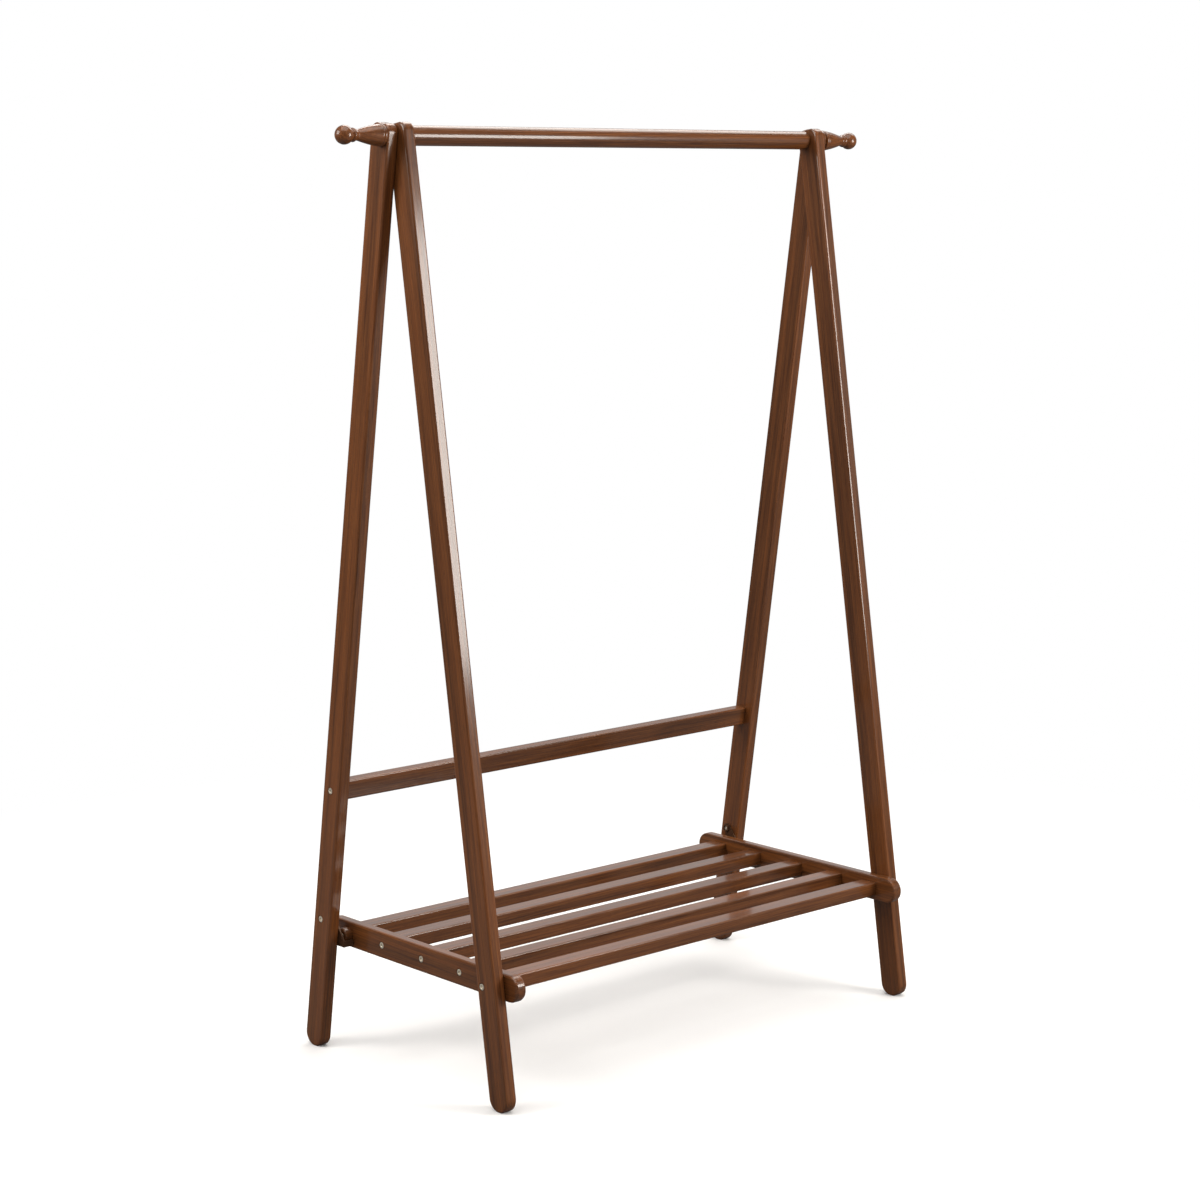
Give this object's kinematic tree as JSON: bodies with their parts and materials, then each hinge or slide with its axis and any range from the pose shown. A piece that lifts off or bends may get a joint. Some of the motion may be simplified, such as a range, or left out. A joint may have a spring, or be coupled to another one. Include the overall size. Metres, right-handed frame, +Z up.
{
  "type": "kimono stand",
  "caption": "Folding A-frame hanging stand of stained wood with a turned finial rod, a rear stretcher and a slatted lower shelf that lifts for folding.",
  "frame": {"origin": "on the floor under the middle of the overall box", "axes": "+X along the hanging rod, +Y towards the rear legs, +Z up"},
  "size_m": [1.201, 0.5304, 1.5993],
  "materials": {
    "stained_wood": "gloss",
    "fastener_steel": "satin",
    "dark_steel": "satin"
  },
  "bodies": {
    "rear_frame": {"hanging_rod": "stained_wood", "left_bracket_screw": "dark_steel", "left_finial": "stained_wood", "left_finial_screw": "fastener_steel", "left_rear_leg": "stained_wood", "left_rest_bracket": "dark_steel", "left_stretcher_bolt": "fastener_steel", "left_stretcher_nut": "fastener_steel", "left_support_bolt": "fastener_steel", "left_support_nut": "dark_steel", "rear_stretcher": "stained_wood", "right_bracket_screw": "dark_steel", "right_finial": "stained_wood", "right_finial_screw": "fastener_steel", "right_rear_leg": "stained_wood", "right_rest_bracket": "dark_steel", "right_stretcher_bolt": "fastener_steel", "right_stretcher_nut": "fastener_steel", "right_support_bolt": "fastener_steel", "right_support_nut": "dark_steel"},
    "front_frame": {"left_front_leg": "stained_wood", "right_front_leg": "stained_wood"},
    "shelf": {"left_button_screw": "fastener_steel", "left_pivot_bolt": "fastener_steel", "left_pivot_nut": "fastener_steel", "left_shelf_rail": "stained_wood", "left_slat_screw_2": "fastener_steel", "left_slat_screw_3": "fastener_steel", "left_slat_screw_4": "fastener_steel", "left_spacer_button": "stained_wood", "right_button_screw": "fastener_steel", "right_pivot_bolt": "fastener_steel", "right_pivot_nut": "fastener_steel", "right_shelf_rail": "stained_wood", "right_slat_screw_2": "fastener_steel", "right_slat_screw_3": "fastener_steel", "right_slat_screw_4": "fastener_steel", "right_spacer_button": "stained_wood", "shelf_slat_1": "stained_wood", "shelf_slat_2": "stained_wood", "shelf_slat_3": "stained_wood", "shelf_slat_4": "stained_wood", "shelf_slat_5": "stained_wood"}
  },
  "joints": [
    {"name": "frame_fold", "type": "hinge", "parent": "rear_frame", "child": "front_frame", "pos_m": [0, 0.0013, 1.578], "axis": [1, 0, 0], "range_deg": [0, 14]},
    {"name": "shelf_lift", "type": "hinge", "parent": "front_frame", "child": "shelf", "pos_m": [0, -0.20119, 0.204], "axis": [1, 0, 0], "range_deg": [0, 77]}
  ]
}
